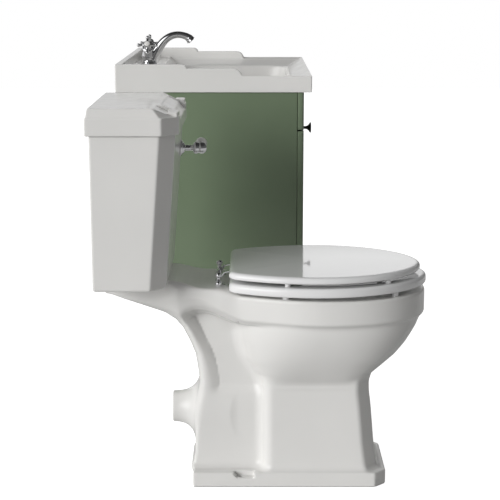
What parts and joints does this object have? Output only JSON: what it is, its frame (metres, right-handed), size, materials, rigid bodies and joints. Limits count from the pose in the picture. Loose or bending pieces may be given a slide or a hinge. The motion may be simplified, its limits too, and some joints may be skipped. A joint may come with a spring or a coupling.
{
  "type": "combined vanity and toilet unit",
  "caption": "Close-coupled toilet with lever cistern, seat and lid beside a wall-hung green vanity with ceramic basin, mixer tap and drawer.",
  "frame": {"origin": "middle of the bounding box at floor level", "axes": "+X from the toilet towards the vanity, front -Y, the wall at y = 0.348 m, up +Z"},
  "size_m": [1.33, 0.696, 0.9111],
  "materials": {
    "white_ceramic": "glossy",
    "white_seat": "glossy",
    "chrome_plate": "polished",
    "green_paint": "satin",
    "carcass_board": "matt",
    "white_plastic": "matt",
    "black_rubber": "matt",
    "brass_bare": "satin",
    "black_knob": "satin",
    "zinc_steel": "satin",
    "float_black": "matt"
  },
  "bodies": {
    "fixed": {"pan": "white_ceramic", "coupling_seal": "black_rubber", "coupling_bolts": "brass_bare", "coupling_washers": "black_rubber", "coupling_wing_nuts": "brass_bare", "cistern": "white_ceramic", "cistern_lid": "white_ceramic", "siphon_body": "white_plastic", "siphon_nut": "white_plastic", "lever_rose": "chrome_plate", "lever_backnut": "chrome_plate", "fill_valve": "white_plastic", "fill_valve_backnut": "white_plastic", "hinge_pillars": "chrome_plate", "hinge_sleeves": "black_rubber", "hinge_pin": "chrome_plate", "basin": "white_ceramic", "overflow_ring": "chrome_plate", "waste_body": "chrome_plate", "waste_nut": "chrome_plate", "trap_body": "chrome_plate", "trap_cup": "chrome_plate", "trap_outlet_pipe": "chrome_plate", "tap_body": "chrome_plate", "tap_spout": "chrome_plate", "tap_aerator": "chrome_plate", "tap_nut": "brass_bare", "cabinet_left_side": "green_paint", "cabinet_right_side": "green_paint", "cabinet_bottom": "carcass_board", "cabinet_back_rail": "carcass_board", "cabinet_front_rail": "carcass_board", "hanging_brackets": "zinc_steel", "fascia": "green_paint", "fixed_runners": "zinc_steel"},
    "flush_lever_body": {"flush_lever": "chrome_plate", "lever_ceramic_handle": "white_ceramic", "inner_lever_arm": "chrome_plate"},
    "lift_rod": {"siphon_lift_rod": "white_plastic"},
    "float": {"fill_valve_float": "float_black"},
    "seat_body": {"seat": "white_seat", "seat_straps": "chrome_plate", "seat_buffers": "white_seat"},
    "lid_body": {"toilet_lid": "white_seat", "lid_straps": "chrome_plate", "lid_buffers": "white_seat"},
    "plug": {"waste_plug": "chrome_plate"},
    "hot_tap": {"hot_handle": "chrome_plate", "hot_index": "white_ceramic"},
    "cold_tap": {"cold_handle": "chrome_plate", "cold_index": "white_ceramic"},
    "drawer": {"drawer_front_frame": "green_paint", "drawer_front_panel": "green_paint", "drawer_sides": "carcass_board", "drawer_back": "carcass_board", "drawer_base": "carcass_board", "moving_runners": "zinc_steel", "drawer_knob": "black_knob", "knob_screw": "zinc_steel"}
  },
  "joints": [
    {"name": "flush_lever_turn", "type": "hinge", "parent": "fixed", "child": "flush_lever_body", "pos_m": [-0.361, 0.198, 0.692], "axis": [0, 1, 0], "range_deg": [0, 29]},
    {"name": "lift_rod_slide", "type": "slide", "parent": "fixed", "child": "lift_rod", "axis": [0, 0, 1], "range_m": [0, 0.032]},
    {"name": "float_slide", "type": "slide", "parent": "fixed", "child": "float", "axis": [0, 0, 1], "range_m": [0, 0.105]},
    {"name": "seat_hinge", "type": "hinge", "parent": "fixed", "child": "seat_body", "pos_m": [-0.476, 0.091, 0.433], "axis": [-1, 0, 0], "range_deg": [0, 88]},
    {"name": "lid_hinge", "type": "hinge", "parent": "seat_body", "child": "lid_body", "pos_m": [-0.476, 0.091, 0.433], "axis": [1, 0, 0], "range_deg": [-88, 0]},
    {"name": "plug_slide", "type": "slide", "parent": "fixed", "child": "plug", "axis": [0, 0, 1], "range_m": [0, 0.008]},
    {"name": "hot_tap_turn", "type": "hinge", "parent": "fixed", "child": "hot_tap", "pos_m": [0.265, 0.292, 0.87797], "axis": [-0.8387, 0, 0.5446], "range_deg": [0, 90]},
    {"name": "cold_tap_turn", "type": "hinge", "parent": "fixed", "child": "cold_tap", "pos_m": [0.365, 0.292, 0.87797], "axis": [0.8387, 0, 0.5446], "range_deg": [0, 90]},
    {"name": "drawer_slide", "type": "slide", "parent": "fixed", "child": "drawer", "axis": [0, -1, 0], "range_m": [0, 0.26]}
  ],
  "couplings": [
    {"joint": "lift_rod_slide", "follows": "flush_lever_turn", "m_per_rad": 0.063}
  ]
}
